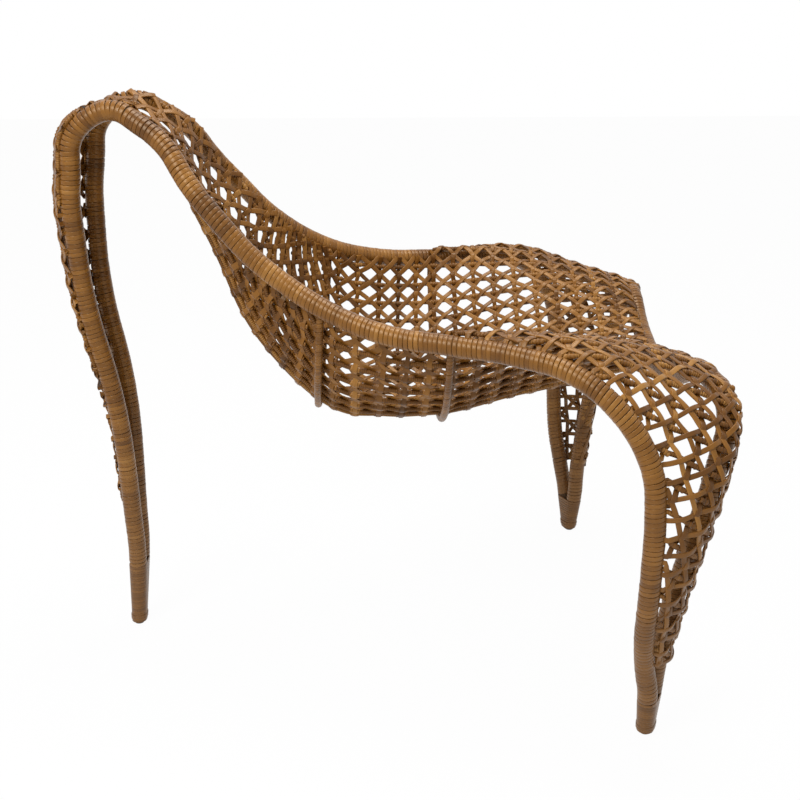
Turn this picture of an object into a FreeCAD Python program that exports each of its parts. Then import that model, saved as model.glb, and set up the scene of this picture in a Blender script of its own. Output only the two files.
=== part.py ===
import FreeCAD, Part
import math
import os
from FreeCAD import Vector

# Three-legged woven rattan lounge chair, in millimetres.
# The sitter faces -Y, +Z is up, and the origin is on the floor under the middle of the chair.
# Route points are (half width, forward, height), and the left side mirrors the right side.

# Poles, ribs and the cane wound round them
pole_radius = 12.2
rib_radius = 3.8
wrap_gap = 0.3
wrap_thickness = 1.5
rib_wrap_thickness = 1.2
seat_gap = 0.3
ankle_gap = 4.5
rib_clearance = 1.0

# Woven panels
weave_thickness = 6.0
handle_share = 0.36

# Openwork of the seat and the back: one diamond window for each mesh of the weave
mesh_length = 34.0
back_mesh_width = 33.0
seat_meshes = 10
width_change_length = 250.0
strand_width = 8.6
window_margin = 22.0
window_depth = 14.0

# Feet
glide_height = 4.0
glide_margin = 1.0
foot_tip_radius = 8.5
foot_tip_reach = 2.5
rear_foot_back = 407.5
rear_ankle_back = 398.5
rear_ankle_height = 119.0
front_foot_half_width = 320.5
front_foot_forward = 372.5
front_ankle_half_width = 327.0
front_ankle_forward = 372.5
front_ankle_height = 66.0
front_foot_turn = 27.0

# Nails and pins
nail_radius = 1.2
nail_head_radius = 2.6
nail_head_height = 1.0
nail_length = 22.0
pin_radius = 2.0
pin_cover = 2.0
rib_nail_grip = 10.0
hole_gap = 0.2

# Main heights and widths of the frame
crest_height = 843.0
crest_half_width = 82.0
crest_back = 367.5
rearmost_back = 432.5
seat_side_height = 566.0
thigh_height = 556.0
knee_half_width = 354.0
shin_half_width = 391.0
arch_middle_height = 447.0
arch_middle_forward = 434.0
arch_crest_height = 507.0
knee_front_forward = 450.0

# Moves the middle of the chair's length onto the origin
centre_shift = 0.5

# Values worked out from the sizes above
wrap_inner = pole_radius + wrap_gap
wrap_outer = wrap_inner + wrap_thickness
rib_wrap_inner = rib_radius + wrap_gap
rib_wrap_outer = rib_wrap_inner + rib_wrap_thickness
weave_seat = wrap_outer + seat_gap + weave_thickness / 2
rib_drop = weave_thickness / 2 + rib_clearance + rib_wrap_outer
foot_reach = wrap_outer + seat_gap / 2
turn = math.radians(front_foot_turn)
foot_form_radius = pole_radius + wrap_gap / 2


def front_pole(half_width, forward, reach, height):
    # a front pole's centre that far from the middle of its foot or ankle, outwards or inwards
    return (half_width + reach * math.cos(turn), forward - reach * math.sin(turn), height)


def front_foot(reach):
    return front_pole(front_foot_half_width, front_foot_forward, reach, glide_height)


def front_ankle(reach):
    return front_pole(front_ankle_half_width, front_ankle_forward, reach, front_ankle_height)


# One side pole: rear foot, up the rear leg, over the crest, along the seat and down to the front foot
side_route = [
    (foot_tip_reach, -rear_foot_back, glide_height),
    (foot_reach, -rear_ankle_back, rear_ankle_height),
    (24, -397.5, 232),
    (36, -398.5, 342),
    (62, -rearmost_back, 647),
    (75, -429.5, 740),
    (80, -407.5, 822),
    (crest_half_width, -crest_back, crest_height),
    (100, -314.5, 820),
    (144, -235, 725),
    (162, -166.5, 651),
    (174, -125, 620),
    (192, -81, 595),
    (235, 14, seat_side_height),
    (259, 91, 560),
    (287, 163, thigh_height),
    (332, 240, 543),
    (knee_half_width, 269, 527),
    (389, 334, 431),
    (shin_half_width, 341, 370),
    (shin_half_width, 342, 300),
    (384, 343, 235),
    (370, 346, 186),
    (352, 354, 135),
    front_ankle(foot_reach),
    front_foot(foot_tip_reach),
]

# Half of the front arch: seat edge, over the knee and down to the front foot
arch_half_route = [
    (0, arch_middle_forward, arch_middle_height),
    (110, 435, 466),
    (218, 439, arch_crest_height),
    (295, knee_front_forward, 481),
    (325, 432, 399),
    (334, 411, 316),
    (328, 394, 222),
    (319, 383, 135),
    front_ankle(-foot_reach),
    front_foot(-foot_tip_reach),
]

# Places on the side route that other pieces take
ankle_at = 1
rear_rib_at = 12
middle_rib_at = 14

# Woven sections from pole to pole: place on the route, drop below the poles, lean of the plane
crest_section = (7, -4, 90)
hip_section = (rear_rib_at, 191, 86)
leg_sections = [(2, -13, 176), (3, -16, 176), (4, -31, 178), (5, -33, 171), (6, -22, 140), crest_section]
back_sections = [crest_section, (8, 1, 58), (9, 43, 41), (10, 87, 50), (11, 145, 73), hip_section]
seat_sections = [hip_section, (13, 185, 87), (middle_rib_at, 174, 90)]

# Seat sections between the thigh rolls: roll half width, forward, roll height, middle height, edge slope
roll_sections = [(238, 190, 564, 405, 40), (228, 285, 558, 423, 12), (222, 425, 523, 463, 5)]

# Sections over the thigh and down the front leg: the inner end is a seat section, a roll section
# or a place on the arch, the outer end is a place on the side route, and the last value is the bulge's slope
knee_rows = [("seat", 2, middle_rib_at, 25), ("roll", 0, 15, 25), ("roll", 1, 17, 28), ("roll", 2, 18, 35),
             ("arch", 3, 19, 35), ("arch", 4, 20, 26), ("arch", 5, 21, 20), ("arch", 6, 22, 18), ("arch", 7, 23, 18)]
knee_grip = 40.0
knee_seat = wrap_outer + seat_gap + 2.5
knee_seam = 0.6


def place(point):
    return Vector(point[0], -point[1] - centre_shift, point[2])


def unit(vector):
    return vector * (1 / vector.Length)


def route_tangents(points, straight_ends):
    # each direction is the parabola's through a point and its two neighbours
    runs = [points[i + 1] - points[i] for i in range(len(points) - 1)]
    lengths = [run.Length for run in runs]
    slopes = [unit(run) for run in runs]
    found = [slopes[0]]
    for i in range(1, len(points) - 1):
        found.append(unit(slopes[i - 1] * lengths[i] + slopes[i] * lengths[i - 1]))
    found.append(slopes[-1])
    for i in straight_ends:
        found[i] = slopes[0] if i == 1 else slopes[-1]
    return found


def arc_edge(start, direction, end):
    chord = end - start
    along = unit(chord)
    lean = direction - along * direction.dot(along)
    if lean.Length < 1e-6:
        return Part.LineSegment(start, end).toShape()
    half_angle = math.atan2(lean.Length, direction.dot(along))
    rise = chord.Length / 2 * math.tan(half_angle / 2)
    middle = start + chord * 0.5 + unit(lean) * rise
    return Part.Arc(start, middle, end).toShape()


def span_edges(start, start_dir, end, end_dir):
    # two tangent arcs that meet between the points, or one line where the run is straight
    chord = end - start
    if chord.Length - abs(chord.dot(start_dir)) < 1e-6 and start_dir.dot(end_dir) > 1 - 1e-9:
        return [Part.LineSegment(start, end).toShape()]
    total = start_dir + end_dir
    spread = 2 * (1 - start_dir.dot(end_dir))
    lead = chord.dot(total)
    if spread < 1e-9:
        reach = chord.dot(chord) / (2 * lead)
    else:
        reach = (math.sqrt(lead * lead + spread * chord.dot(chord)) - lead) / spread
    joint = (start + end + (start_dir - end_dir) * reach) * 0.5
    first = arc_edge(start, start_dir, joint)
    second = arc_edge(end, end_dir * -1, joint)
    second.reverse()
    return [first, second]


def route_wire(points, tangents, first, last):
    edges = []
    for i in range(first, last):
        edges += span_edges(points[i], tangents[i], points[i + 1], tangents[i + 1])
    return Part.Wire(edges)


def pipe(path, start, direction, radius):
    ring = Part.Wire(Part.makeCircle(radius, start, direction))
    solid = path.makePipeShell([ring], True, False)
    expected = math.pi * radius * radius * path.Length
    print("pipe radius %.1f length %.0f volume ratio %.4f" % (radius, path.Length, solid.Volume / expected))
    return solid


def tube(points, tangents, radius, first, last):
    return pipe(route_wire(points, tangents, first, last), points[first], tangents[first], radius)


def sleeve(points, tangents, inner, outer, first, last):
    return tube(points, tangents, outer, first, last).cut(tube(points, tangents, inner, first, last))


def trimmed(shape, tools):
    # cut back to clear the tools, keeping the main piece
    for tool in tools:
        shape = shape.cut(tool)
    return max(shape.Solids, key=lambda solid: solid.Volume)


def mirrored(shape):
    return shape.mirror(Vector(0, 0, 0), Vector(1, 0, 0))


def stadium(centre_a, centre_b, radius, height):
    # flat outline round two circles, at one height
    a = Vector(centre_a.x, centre_a.y, height)
    b = Vector(centre_b.x, centre_b.y, height)
    along = unit(b - a)
    across = Vector(-along.y, along.x, 0)
    edges = [
        Part.LineSegment(a + across * radius, b + across * radius).toShape(),
        Part.Arc(b + across * radius, b + along * radius, b - across * radius).toShape(),
        Part.LineSegment(b - across * radius, a - across * radius).toShape(),
        Part.Arc(a - across * radius, a - along * radius, a + across * radius).toShape(),
    ]
    return Part.Face(Part.Wire(edges))


def foot_form(tips, ankles, growth):
    # the tapered foot that two poles make together, grown by an even layer
    low = stadium(tips[0], tips[1], foot_tip_radius + growth, tips[0].z)
    high = stadium(ankles[0], ankles[1], foot_form_radius + growth, ankles[0].z)
    return Part.makeLoft([low.OuterWire, high.OuterWire], True, True)


def foot_slab(tips, ankles, low, high):
    # all the room round a foot between two heights
    middle = (tips[0] + tips[1] + ankles[0] + ankles[1]) * 0.25
    reach = 4 * foot_reach
    return Part.makeBox(2 * reach, 2 * reach, high - low, Vector(middle.x - reach, middle.y - reach, low))


def foot_binding(tips, ankles):
    outer = foot_form(tips, ankles, wrap_gap + wrap_thickness)
    shell = outer.cut(foot_form(tips, ankles, wrap_gap))
    top = ankles[0].z
    return shell.cut(foot_slab(tips, ankles, top - ankle_gap, top + ankle_gap))


def other_half(tips, ankles, own):
    # the room on the far side of a foot's middle plane, where the other pole's half lies
    along = unit(tips[1 - own] - tips[own])
    across = Vector(-along.y, along.x, 0)
    reach = 4 * foot_reach
    base = (tips[0] + tips[1]) * 0.5
    rise = (ankles[0] + ankles[1]) * 0.5 - base
    corners = [base - along * (seat_gap / 2) - across * reach, base - along * (seat_gap / 2) + across * reach]
    corners += [corners[1] + along * reach, corners[0] + along * reach]
    return Part.Face(Part.makePolygon(corners + corners[:1])).extrude(rise)


def footed(pole, tips, ankles, own):
    # tapers a pole's lower end to its half of the foot
    top = ankles[0].z
    waste = foot_slab(tips, ankles, 0, top).cut(foot_form(tips, ankles, 0))
    pole = pole.cut(waste).cut(foot_slab(tips, ankles, -top, glide_height))
    return pole.cut(other_half(tips, ankles, own))


def foot_glide(tips):
    face = stadium(tips[0], tips[1], foot_tip_radius - glide_margin, 0)
    return face.extrude(Vector(0, 0, glide_height))


def nail(foot):
    # the head lies flush in the glide's underside, clear of the floor
    head_base = Vector(foot.x, foot.y, nail_head_height)
    head = Part.makeCylinder(nail_head_radius, nail_head_height, head_base)
    shank = Part.makeCylinder(nail_radius, nail_length, head_base)
    return head.fuse(shank)


def nail_hole(foot):
    bottom = Vector(foot.x, foot.y, -hole_gap)
    wide = Part.makeCylinder(nail_head_radius + hole_gap, 2 * nail_head_height + 2 * hole_gap, bottom)
    deep = Part.makeCylinder(nail_radius + hole_gap, nail_length + nail_head_height + 2 * hole_gap, bottom)
    return wide.fuse(deep)


def curve(poles):
    bezier = Part.BezierCurve()
    bezier.setPoles(poles)
    return bezier.toShape()


def section_wire(spans):
    # closed outline of a woven section: each span is (poles, normals) from one side to the other
    half = weave_thickness / 2
    top = []
    bottom = []
    for poles, normals in spans:
        top.append([p + n * half for p, n in zip(poles, normals)])
        bottom.append([p - n * half for p, n in zip(poles, normals)])
    edges = [curve(poles) for poles in top]
    edges.append(Part.LineSegment(top[-1][-1], bottom[-1][-1]).toShape())
    edges += [curve(list(reversed(poles))) for poles in reversed(bottom)]
    edges.append(Part.LineSegment(bottom[0][0], top[0][0]).toShape())
    return Part.Wire(edges)


def mirror_vector(vector):
    return Vector(-vector.x, vector.y, vector.z)


def half_section(edge, edge_dir, middle):
    # poles of a section from the middle to the edge
    reach = (edge - middle).Length * handle_share
    return [middle, middle + Vector(reach, 0, 0), edge + edge_dir * reach, edge]


def whole_section(edge, edge_dir, edge_up, middle, middle_up):
    # from the left edge through the middle to the right edge
    poles = half_section(edge, edge_dir, middle)
    normals = [middle_up, middle_up, edge_up, edge_up]
    left = [mirror_vector(p) for p in reversed(poles)]
    left_normals = [mirror_vector(n) for n in reversed(normals)]
    return section_wire([(left, left_normals), (poles, normals)])


def pole_edge(row):
    at, drop, lean = row
    pole = side[at]
    lean = math.radians(lean)
    up = Vector(0, -math.cos(lean), math.sin(lean))
    inward = Vector(-1, 0, 0)
    grip = 2 * math.atan((drop + weave_seat) / pole.x)
    normal = up * math.cos(grip) + inward * math.sin(grip)
    direction = inward * math.cos(grip) - up * math.sin(grip)
    return pole + normal * weave_seat, direction, normal, up


def pole_middle(row, up):
    pole = side[row[0]]
    return Vector(0, pole.y, pole.z) - up * row[1]


def pole_section(row):
    edge, direction, normal, up = pole_edge(row)
    return whole_section(edge, direction, normal, pole_middle(row, up), up)


def pole_half(row):
    edge, direction, _, up = pole_edge(row)
    return half_section(edge, direction, pole_middle(row, up))


def roll_edge(row):
    half_width, forward, height, middle_height, slope = row
    slope = math.radians(slope)
    edge = place((half_width, forward, height))
    direction = Vector(-math.cos(slope), 0, -math.sin(slope))
    normal = Vector(-math.sin(slope), 0, math.cos(slope))
    return edge, direction, normal


def roll_section(row):
    edge, direction, normal = roll_edge(row)
    return whole_section(edge, direction, normal, Vector(0, edge.y, row[3]), Vector(0, 0, 1))


def roll_half(row):
    edge, direction, _ = roll_edge(row)
    return half_section(edge, direction, Vector(0, edge.y, row[3]))


def knee_section(row):
    # from the roll or the arch to the outer pole, bulging outwards between them
    kind, inner_at, outer_at, slope = row
    outer = side[outer_at]
    axis = side_dirs[outer_at]
    rise = math.radians(slope)
    grip = math.radians(knee_grip)
    if kind == "seat":
        start, inward, start_up = pole_edge(seat_sections[inner_at])[:3]
        start_dir = inward * -1
        start = start + start_dir * knee_seam
    elif kind == "roll":
        start, inward, start_up = roll_edge(roll_sections[inner_at])
        start_dir = inward * -1
        start = start + start_dir * knee_seam
    else:
        pole = arch[arch_middle + inner_at]
        across = unit(outer - pole)
        out = unit(across.cross(axis))
        out = out if out.x > 0 else out * -1
        start_dir = across * math.cos(rise) + out * math.sin(rise)
        start_up = out * math.cos(rise) - across * math.sin(rise)
        start = pole + start_up * weave_seat
    back = unit(start - outer)
    out = unit(back.cross(axis))
    out = out if out.x + out.z > 0 else out * -1
    back = unit(back - out * back.dot(out))
    end_up = out * math.cos(rise) - back * math.sin(rise)
    end_dir = back * math.cos(rise) + out * math.sin(rise)
    end = outer + (out * math.cos(grip) + back * math.sin(grip)) * knee_seat
    reach = (end - start).Length * handle_share
    poles = [start, start + start_dir * reach, end + end_dir * reach, end]
    normals = [start_up, start_up, end_up * -1, end_up * -1]
    if start_up.dot(end_up) > 0:
        normals = [start_up, start_up, end_up, end_up]
    return poles, normals


def blended_skin(rows):
    # each row is the four poles of one section; smooth curves run lengthwise through the rows
    steps = [0.0]
    for before, after in zip(rows, rows[1:]):
        steps.append(steps[-1] + sum((q - p).Length for p, q in zip(before, after)) / len(before))
    parameters = [step / steps[-1] for step in steps]
    columns = []
    for k in range(4):
        lengthwise = Part.BSplineCurve()
        lengthwise.interpolate(Points=[row[k] for row in rows], Parameters=parameters)
        columns.append(lengthwise)
    poles = [column.getPoles() for column in columns]
    mults = columns[0].getMultiplicities()
    knots = columns[0].getKnots()
    skin = Part.BSplineSurface()
    skin.buildFromPolesMultsKnots(poles, [4, 4], mults, [0, 1], knots, False, False, 3, columns[0].Degree)
    return skin


def blended_panel(sections):
    # a shell of even thickness laid through sections that turn from one plane to another
    half = weave_thickness / 2
    top = blended_skin([[p + n * half for p, n in zip(poles, normals)] for poles, normals in sections])
    bottom = blended_skin([[p - n * half for p, n in zip(poles, normals)] for poles, normals in sections])
    u0, u1, v0, v1 = top.bounds()
    faces = [top.toShape(), bottom.toShape()]
    for u in (u0, u1):
        faces.append(Part.makeRuledSurface(top.uIso(u).toShape(), bottom.uIso(u).toShape()))
    for v in (v0, v1):
        faces.append(Part.makeRuledSurface(top.vIso(v).toShape(), bottom.vIso(v).toShape()))
    shell = Part.makeShell(faces)
    shell.sewShape()
    solid = Part.Solid(shell)
    if solid.Volume < 0:
        solid.reverse()
    return solid


def run_lengths(points):
    lengths = [0.0]
    for before, after in zip(points, points[1:]):
        lengths.append(lengths[-1] + (after - before).Length)
    return lengths


def even_places(points, lengths):
    # shares of the run at which it has each of the lengths
    runs = run_lengths(points)
    found = []
    for length in lengths:
        i = max(k for k in range(len(runs) - 1) if runs[k] <= length)
        found.append((i + (length - runs[i]) / (runs[i + 1] - runs[i])) / (len(runs) - 1))
    return found


def window(centre, along, across):
    # a diamond prism through a panel, with its corners at the ends of the two half lengths
    corners = [centre + along, centre + across, centre - along, centre - across]
    depth = unit(along.cross(across)) * window_depth
    base = [corner - depth for corner in corners]
    return Part.Face(Part.makePolygon(base + base[:1])).extrude(depth * 2)


def openwork(halves, far_width):
    # windows between the strands, counted from the hip: the seat keeps its count of meshes to the edge,
    # and a panel with a far width goes over to meshes of that width
    skin = blended_skin(halves)
    shares = [k / 80 for k in range(81)]
    spine = [skin.value(0, v) for v in shares]
    hip_width = run_lengths([skin.value(u, 0) for u in shares])[-1] / seat_meshes
    rows = int((run_lengths(spine)[-1] - window_margin) / mesh_length)
    lengths = [(k + 1) * mesh_length for k in range(rows)]
    cuts = []
    for length, v in zip(lengths, even_places(spine, lengths)):
        section = [skin.value(u, v) for u in shares]
        total = run_lengths(section)[-1]
        width = total / seat_meshes
        if far_width:
            share = min(length / width_change_length, 1)
            width = hip_width * (1 - share) + far_width * share
        count = int((total - window_margin) / width)
        reach = (width - strand_width) / 2
        for k, u in enumerate(even_places(section, [k * width for k in range(count + 1)])):
            along, across = skin.tangent(u, v)[1], skin.tangent(u, v)[0]
            across = unit(across - along * across.dot(along)) * reach
            cut = window(skin.value(u, v), unit(along) * ((mesh_length - strand_width) / 2), across)
            cuts.append(cut)
            if k > 0:
                cuts.append(mirrored(cut))
    print("windows", len(cuts))
    return Part.makeCompound(cuts)


def rib_half(row):
    # half of a rib's line, from the middle to the side pole, under the weave's section
    edge, direction, normal, up = pole_edge(row)
    return half_section(edge - normal * rib_drop, direction, pole_middle(row, up) - up * rib_drop)


def rib_pipe(row, radius):
    half = rib_half(row)
    end = [mirror_vector(point) for point in reversed(half)]
    return pipe(Part.Wire([curve(end), curve(half)]), end[0], unit(end[1] - end[0]), radius)


# Routes of the poles
side = [place(point) for point in side_route]
side_dirs = route_tangents(side, (1, len(side) - 2))
half_arch = [place(point) for point in arch_half_route]
arch = [mirror_vector(point) for point in reversed(half_arch[1:])] + half_arch
arch_middle = len(half_arch) - 1
arch_dirs = route_tangents(arch, (1, len(arch) - 2))
side_last = len(side) - 1
arch_last = len(arch) - 1

# Ribs lie close under the weave
rib_rows = {"rear": seat_sections[0], "middle": seat_sections[2]}

# Feet: the lower ends of the two poles in each, and their places at the ankle
rear_foot = ((side[0], mirror_vector(side[0])), (side[ankle_at], mirror_vector(side[ankle_at])))
left_foot = ((side[side_last], arch[arch_last]), (side[side_last - 1], arch[arch_last - 1]))
right_foot = tuple(tuple(mirror_vector(point) for point in pair) for pair in left_foot)
feet = {"rear": rear_foot, "left": left_foot, "right": right_foot}

# A nail up through each glide, and a pin across each bound foot
nails = []
nail_holes = []
pins = []
pin_holes = []
for tips, ankles in feet.values():
    middle = (tips[0] + tips[1]) * 0.5
    nails.append(nail(middle))
    nail_holes.append(nail_hole(middle))
    a = (tips[0] + ankles[0]) * 0.5
    b = (tips[1] + ankles[1]) * 0.5
    along = unit(b - a)
    reach = (foot_tip_radius + foot_form_radius) / 2 - pin_cover
    length = (b - a).Length + 2 * reach
    pins.append(Part.makeCylinder(pin_radius, length, a - along * reach, along))
    spare = a - along * (reach + hole_gap)
    pin_holes.append(Part.makeCylinder(pin_radius + hole_gap, length + 2 * hole_gap, spare, along))

# Nails through the side poles into the ribs' ends, which meet the poles a little below their centres
rib_nails = []
rib_nail_holes = []
off_centre = weave_seat - rib_drop
for row in rib_rows.values():
    half = rib_half(row)
    inward = unit(half[2] - half[3])
    before = math.sqrt(pole_radius**2 - off_centre**2) - pin_cover
    after = math.sqrt((wrap_outer + seat_gap)**2 - off_centre**2) + rib_nail_grip
    head = half[3] - inward * before
    made = Part.makeCylinder(nail_radius, before + after, head, inward)
    hole = Part.makeCylinder(nail_radius + hole_gap, before + after + 2 * hole_gap, head - inward * hole_gap, inward)
    rib_nails += [made, mirrored(made)]
    rib_nail_holes += [hole, mirrored(hole)]

holes = Part.makeCompound(nail_holes + pin_holes + rib_nail_holes)
parts = {}

# Poles and their cane bindings
left_pole = tube(side, side_dirs, pole_radius, 0, side_last)
left_pole = footed(footed(left_pole, *rear_foot, 0), *left_foot, 0)
left_wrap = sleeve(side, side_dirs, wrap_inner, wrap_outer, ankle_at, side_last - 1)
parts["left_side_pole"] = left_pole.cut(holes)
parts["right_side_pole"] = mirrored(left_pole).cut(holes)
parts["left_side_binding"] = left_wrap.cut(holes)
parts["right_side_binding"] = mirrored(left_wrap).cut(holes)
arch_pole = tube(arch, arch_dirs, pole_radius, 0, arch_last)
arch_pole = footed(footed(arch_pole, *left_foot, 1), *right_foot, 1)
parts["front_arch_pole"] = arch_pole.cut(holes)
parts["front_arch_binding"] = sleeve(arch, arch_dirs, wrap_inner, wrap_outer, 1, arch_last - 1)

# Room round the poles that ribs and panels are fitted to
left_room = tube(side, side_dirs, wrap_outer + seat_gap, 0, side_last)
rooms = [left_room, mirrored(left_room), tube(arch, arch_dirs, wrap_outer + seat_gap, 0, arch_last)]

# Bow ribs under the seat
for name, row in rib_rows.items():
    parts[name + "_rib"] = trimmed(rib_pipe(row, rib_radius), rooms + [holes])
    parts[name + "_rib_binding"] = trimmed(rib_pipe(row, rib_wrap_outer).cut(rib_pipe(row, rib_wrap_inner)), rooms)

# Feet
for name, (tips, ankles) in feet.items():
    parts[name + "_foot_binding"] = foot_binding(tips, ankles)
    parts[name + "_foot_glide"] = foot_glide(tips).cut(holes)
parts["glide_nails"] = Part.makeCompound(nails)
parts["foot_pins"] = Part.makeCompound(pins)
parts["rib_nails"] = Part.makeCompound(rib_nails)

# Woven panels
leg_wires = [pole_section(row) for row in leg_sections]
back_wires = [pole_section(row) for row in back_sections]
seat_wires = [pole_section(row) for row in seat_sections] + [roll_section(row) for row in roll_sections]
seat = Part.makeLoft(seat_wires, True, False)
knee = trimmed(blended_panel([knee_section(row) for row in knee_rows]), [rooms[0], rooms[2], seat])
seat_halves = [pole_half(row) for row in seat_sections] + [roll_half(row) for row in roll_sections]
seat_windows = openwork(seat_halves, 0)
back_windows = openwork([pole_half(row) for row in reversed(back_sections)], back_mesh_width)
parts["rear_leg_lattice"] = trimmed(Part.makeLoft(leg_wires, True, False), rooms)
parts["back_lattice"] = trimmed(Part.makeLoft(back_wires, True, False), rooms + [back_windows])
parts["seat_lattice"] = trimmed(seat, rooms + [seat_windows])
parts["left_knee_lattice"] = knee
parts["right_knee_lattice"] = mirrored(knee)

os.makedirs("parts", exist_ok=True)
for name, shape in parts.items():
    shape.exportStep("parts/" + name + ".step")
    print("%-22s solids %d valid %s volume %.0f" % (name, len(shape.Solids), shape.isValid(), shape.Volume))
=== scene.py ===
import bpy
import itertools
import math
import numpy as np
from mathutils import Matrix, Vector


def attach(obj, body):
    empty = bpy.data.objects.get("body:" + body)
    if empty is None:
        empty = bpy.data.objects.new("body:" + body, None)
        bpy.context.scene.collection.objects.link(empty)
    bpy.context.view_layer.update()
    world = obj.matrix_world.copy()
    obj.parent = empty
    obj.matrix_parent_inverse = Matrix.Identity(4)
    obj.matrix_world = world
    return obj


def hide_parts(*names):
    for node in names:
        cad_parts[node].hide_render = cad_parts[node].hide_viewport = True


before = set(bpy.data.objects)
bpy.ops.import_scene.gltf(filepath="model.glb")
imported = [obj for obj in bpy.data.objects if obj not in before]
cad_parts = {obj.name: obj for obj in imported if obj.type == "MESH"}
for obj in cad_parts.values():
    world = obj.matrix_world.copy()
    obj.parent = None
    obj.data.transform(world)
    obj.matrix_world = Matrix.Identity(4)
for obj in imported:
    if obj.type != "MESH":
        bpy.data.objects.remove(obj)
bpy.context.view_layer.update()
dice = np.random.default_rng(11)
mm = 0.001
tiny = 1e-9
leftward = np.array([1.0, 0, 0])
mirrorX = np.array([-1.0, 1.0, 1.0])

# Chair frame: points are (half width, forward, height) in millimetres, and the right side mirrors the left
chair = {
    "centreShift": 0.5,
    "wrapOuter": 14.0,
    "weaveSeat": 15.8, "kneeSeat": 16.8,
    "ribSeat": 17.3, "ribDrop": 9.3,
    "ankleReach": 14.15, "tipReach": 2.5,
    "rearFoot": (-407.5, 4), "rearAnkle": (-398.5, 119),
    "frontFoot": (320.5, 372.5, 4), "frontAnkle": (327, 372.5, 66), "frontTurn": 27,
    "rearRibAt": 12, "middleRibAt": 14,
}


def frontPole(spot, reach):
    # a front pole's centre that far from the middle of its foot or ankle
    turn = math.radians(chair["frontTurn"])
    return (spot[0] + reach * math.cos(turn), spot[1] - reach * math.sin(turn), spot[2])


sideRoute = [
    (chair["tipReach"], *chair["rearFoot"]), (chair["ankleReach"], *chair["rearAnkle"]),
    (24, -397.5, 232), (36, -398.5, 342), (62, -432.5, 647), (75, -429.5, 740),
    (80, -407.5, 822), (82, -367.5, 843), (100, -314.5, 820), (144, -235, 725),
    (162, -166.5, 651), (174, -125, 620), (192, -81, 595), (235, 14, 566), (259, 91, 560), (287, 163, 556),
    (332, 240, 543), (354, 269, 527), (389, 334, 431), (391, 341, 370), (391, 342, 300), (384, 343, 235),
    (370, 346, 186), (352, 354, 135),
    frontPole(chair["frontAnkle"], chair["ankleReach"]), frontPole(chair["frontFoot"], chair["tipReach"]),
]
archHalf = [
    (0, 434, 447), (110, 435, 466), (218, 439, 507), (295, 450, 481), (325, 432, 399), (334, 411, 316),
    (328, 394, 222), (319, 383, 135),
    frontPole(chair["frontAnkle"], -chair["ankleReach"]), frontPole(chair["frontFoot"], -chair["tipReach"]),
]

# Woven sections: place on the side route, drop below the poles, lean of the section's plane
poleSections = [
    (2, -13, 176), (3, -16, 176), (4, -31, 178), (5, -33, 171), (6, -22, 140), (7, 8, 90), (8, 10, 58),
    (9, 43, 41), (10, 87, 50), (11, 145, 73), (12, 191, 86), (13, 185, 87), (14, 174, 90),
]
# Between the thigh rolls: roll half width, forward, roll height, middle height, edge slope
rollSections = [(238, 190, 564, 405, 40), (228, 285, 558, 423, 12), (222, 425, 523, 463, 5)]
rollOuterPlaces = [15, 17, 18]
rollSlopes = [25, 28, 35]
# Down the front leg: place on the arch, place on the side route, slope of the bulge
legPlaces = [(3, 19, 35), (4, 20, 26), (5, 21, 20), (6, 22, 18), (7, 23, 18)]
# Length of a section's curve handles as a share of its width
handleShare = 0.36


def place(points):
    points = np.asarray(points, float)
    shifted = np.stack([points[:, 0], -points[:, 1] - chair["centreShift"], points[:, 2]], axis=1)
    return shifted * mm


def forwardOf(points):
    # the forward value that place turned into these points
    return -points[..., 1] / mm - chair["centreShift"]


def unit(vectors):
    return vectors / np.maximum(np.linalg.norm(vectors, axis=-1, keepdims=True), tiny)


def runLengths(points):
    return np.concatenate([[0], np.cumsum(np.linalg.norm(np.diff(points, axis=0), axis=1))])


def crossLengths(points):
    # length along each row of a grid, from its first column
    steps = np.linalg.norm(np.diff(points, axis=1), axis=2)
    return np.concatenate([np.zeros((len(points), 1)), np.cumsum(steps, axis=1)], axis=1)


def bendDirections(points):
    # direction of the parabola through each point and its neighbours, with straight feet at both ends
    chords = np.diff(points, axis=0)
    lengths = np.linalg.norm(chords, axis=1)
    slopes = chords / lengths[:, None]
    inner = unit(slopes[:-1] * lengths[1:, None] + slopes[1:] * lengths[:-1, None])
    found = np.vstack([slopes[:1], inner, slopes[-1:]])
    found[1] = slopes[0]
    found[-2] = slopes[-1]
    return found


straightWithin = 1e-7


def arcPoints(start, direction, end, count):
    chord = end - start
    across = chord - direction * (chord @ direction)
    share = np.linspace(0, 1, count)[:, None]
    if np.linalg.norm(across) < straightWithin:
        return start + chord * share
    across = unit(across)
    half = math.atan2(chord @ across, chord @ direction)
    radius = np.linalg.norm(chord) / (2 * math.sin(half))
    angle = share * 2 * half
    return start + radius * (np.sin(angle) * direction + (1 - np.cos(angle)) * across)


def bendRoute(points, count=24):
    # pairs of tangent arcs from point to point, with the place on the route of every sample
    dirs = bendDirections(points)
    samples, places = [points[:1]], [np.zeros(1)]
    for i in range(len(points) - 1):
        chord = points[i + 1] - points[i]
        total = dirs[i] + dirs[i + 1]
        spread = 2 * (1 - dirs[i] @ dirs[i + 1])
        lead = chord @ total
        if spread < tiny:
            reach = chord @ chord / (2 * lead)
        else:
            reach = (math.sqrt(lead * lead + spread * (chord @ chord)) - lead) / spread
        joint = (points[i] + points[i + 1] + (dirs[i] - dirs[i + 1]) * reach) / 2
        first = arcPoints(points[i], dirs[i], joint, count)
        second = arcPoints(points[i + 1], -dirs[i + 1], joint, count)[::-1]
        span = np.vstack([first[1:], second[1:]])
        along = runLengths(np.vstack([points[i][None], span]))[1:]
        samples.append(span)
        places.append(i + along / along[-1])
    return np.vstack(samples), np.concatenate(places)


def lookUp(route, at):
    points, places = route
    return np.stack([np.interp(at, places, points[:, k]) for k in range(3)], axis=-1)


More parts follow.
